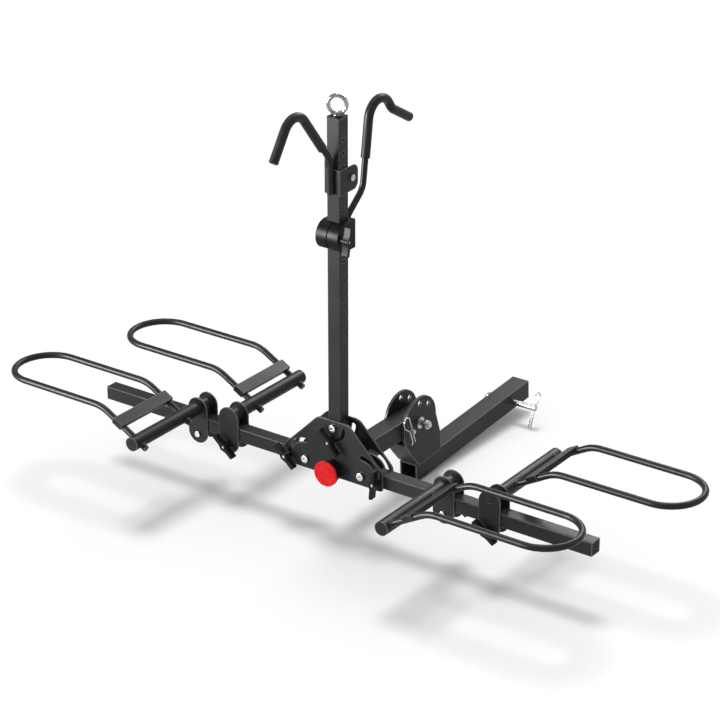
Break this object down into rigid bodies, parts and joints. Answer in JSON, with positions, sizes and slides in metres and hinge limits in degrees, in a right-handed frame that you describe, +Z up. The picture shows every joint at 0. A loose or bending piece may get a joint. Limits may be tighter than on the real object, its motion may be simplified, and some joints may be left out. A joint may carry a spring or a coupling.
{
  "type": "hitch mounted bike rack",
  "caption": "Folding platform rack for bicycles on a square hitch bar, with sliding wheel loops on a beam and hooks on a folding mast.",
  "frame": {"origin": "middle of the far end face of the square hitch bar", "axes": "+X along the wheel beams to the rack's right seen from behind the car, +Y towards the car, +Z up; the mast and the beams follow the axes and the hitch bar rises 3.6 degrees towards +Y"},
  "size_m": [1.7428, 1.0876, 1.0938],
  "materials": {
    "black_steel": "fine-textured black powder coat",
    "bright_zinc": "bright zinc plate",
    "chrome": "polished",
    "black_plastic": "moulded, matt",
    "foam_rubber": "smooth matt sleeve",
    "red_lens": "prismatic clear red"
  },
  "bodies": {
    "hitch": {"hitch_tube": "black_steel", "pivot_bracket": "black_steel", "tilt_bolt": "bright_zinc"},
    "arm": {"arm_tube": "black_steel", "rear_plate": "black_steel", "front_plate": "black_steel", "pivot_bolts": "bright_zinc", "reflector_cup": "black_plastic", "reflector_lens": "red_lens"},
    "mast": {"mast_tube": "black_steel", "mast_plug": "black_plastic", "eye_bolt": "chrome"},
    "left": {"left_beam": "black_steel", "left_plug": "black_plastic"},
    "right": {"right_beam": "black_steel", "right_plug": "black_plastic"},
    "mast_wing": {"mast_lever": "black_plastic", "mast_lock_bolt": "bright_zinc"},
    "left_wing": {"left_lever": "black_plastic", "left_lock_bolt": "bright_zinc"},
    "right_wing": {"right_lever": "black_plastic", "right_lock_bolt": "bright_zinc"},
    "upper": {"upper_clamp": "black_steel", "upper_hook": "black_steel", "upper_grip": "foam_rubber", "upper_bolt": "bright_zinc"},
    "lower": {"lower_clamp": "black_plastic", "lower_hook": "black_steel", "lower_grip": "foam_rubber", "lower_stop": "bright_zinc"},
    "lower_wing": {"lower_knob": "black_plastic", "lower_bolt": "bright_zinc"},
    "pin": {"hitch_pin": "bright_zinc"},
    "pin_clip": {"hitch_clip": "bright_zinc"},
    "lock": {"lock_pin": "bright_zinc"},
    "lock_ring": {"lock_clip": "bright_zinc"},
    "holder_lf": {"clamp_lf": "black_steel", "arm_lf": "black_steel", "loop_lf": "black_steel", "cradle_lf": "black_steel"},
    "wing_lf": {"knob_lf": "black_plastic", "bolt_lf": "bright_zinc"},
    "holder_lr": {"clamp_lr": "black_steel", "arm_lr": "black_steel", "loop_lr": "black_steel", "cradle_lr": "black_steel"},
    "wing_lr": {"knob_lr": "black_plastic", "bolt_lr": "bright_zinc"},
    "holder_rf": {"clamp_rf": "black_steel", "arm_rf": "black_steel", "loop_rf": "black_steel", "cradle_rf": "black_steel"},
    "wing_rf": {"knob_rf": "black_plastic", "bolt_rf": "bright_zinc"},
    "holder_rr": {"clamp_rr": "black_steel", "arm_rr": "black_steel", "loop_rr": "black_steel", "cradle_rr": "black_steel"},
    "wing_rr": {"knob_rr": "black_plastic", "bolt_rr": "bright_zinc"}
  },
  "joints": [
    {"name": "tilt", "type": "hinge", "parent": "hitch", "child": "arm", "pos_m": [0, -0.51697, 0.10922], "axis": [1, 0, 0], "range_deg": [-90, 0]},
    {"name": "mast_fold", "type": "hinge", "parent": "arm", "child": "mast", "pos_m": [0, -0.81497, 0.21222], "axis": [0, -1, 0], "range_deg": [0, 85]},
    {"name": "left_fold", "type": "hinge", "parent": "arm", "child": "left", "pos_m": [-0.081, -0.81497, 0.10922], "axis": [0, -1, 0], "range_deg": [-90, 0]},
    {"name": "right_fold", "type": "hinge", "parent": "arm", "child": "right", "pos_m": [0.081, -0.81497, 0.10922], "axis": [0, -1, 0], "range_deg": [0, 90]},
    {"name": "slide_lf", "type": "slide", "parent": "left", "child": "holder_lf", "axis": [-1, 0, 0], "range_m": [-0.03, 0.22]},
    {"name": "slide_lr", "type": "slide", "parent": "left", "child": "holder_lr", "axis": [-1, 0, 0], "range_m": [-0.06, 0.03]},
    {"name": "slide_rf", "type": "slide", "parent": "right", "child": "holder_rf", "axis": [-1, 0, 0], "range_m": [-0.06, 0.06]},
    {"name": "slide_rr", "type": "slide", "parent": "right", "child": "holder_rr", "axis": [-1, 0, 0], "range_m": [-0.2, 0.06]},
    {"name": "upper_slide", "type": "slide", "parent": "mast", "child": "upper", "axis": [0, 0, 1], "range_m": [-0.05, 0.09]},
    {"name": "lower_slide", "type": "slide", "parent": "mast", "child": "lower", "axis": [0, 0, 1], "range_m": [-0.15, 0.05]},
    {"name": "mast_wing_turn", "type": "hinge", "parent": "mast", "child": "mast_wing", "pos_m": [0, -0.84497, 0.18222], "axis": [0, 1, 0], "continuous": true},
    {"name": "left_wing_turn", "type": "hinge", "parent": "left", "child": "left_wing", "pos_m": [-0.129, -0.84497, 0.10922], "axis": [0, 1, 0], "continuous": true},
    {"name": "right_wing_turn", "type": "hinge", "parent": "right", "child": "right_wing", "pos_m": [0.129, -0.84497, 0.10922], "axis": [0, 1, 0], "continuous": true},
    {"name": "turn_lf", "type": "hinge", "parent": "holder_lf", "child": "wing_lf", "pos_m": [-0.411, -0.78497, 0.08022], "axis": [0, 1, 0], "continuous": true},
    {"name": "turn_lr", "type": "hinge", "parent": "holder_lr", "child": "wing_lr", "pos_m": [-0.315, -0.84497, 0.08022], "axis": [0, 1, 0], "continuous": true},
    {"name": "turn_rf", "type": "hinge", "parent": "holder_rf", "child": "wing_rf", "pos_m": [0.313, -0.78497, 0.08022], "axis": [0, 1, 0], "continuous": true},
    {"name": "turn_rr", "type": "hinge", "parent": "holder_rr", "child": "wing_rr", "pos_m": [0.438, -0.84497, 0.08022], "axis": [0, 1, 0], "continuous": true},
    {"name": "lower_wing_turn", "type": "hinge", "parent": "lower", "child": "lower_wing", "pos_m": [0.045, -0.84597, 0.69722], "axis": [1, 0, 0], "continuous": true},
    {"name": "pin_slide", "type": "slide", "parent": "hitch", "child": "pin", "axis": [-1, 0, 0], "range_m": [0, 0.14]},
    {"name": "pin_clip_slide", "type": "slide", "parent": "pin", "child": "pin_clip", "axis": [0, 0.3649, 0.9311], "range_m": [0, 0.28]},
    {"name": "lock_slide", "type": "slide", "parent": "hitch", "child": "lock", "axis": [-1, 0, 0], "range_m": [0, 0.01]},
    {"name": "lock_clip_slide", "type": "slide", "parent": "lock", "child": "lock_ring", "axis": [0, -0.342, 0.9397], "range_m": [0, 0.06]}
  ],
  "couplings": [
    {"joint": "pin_clip_slide", "follows": "pin_slide", "ratio": 2}
  ]
}
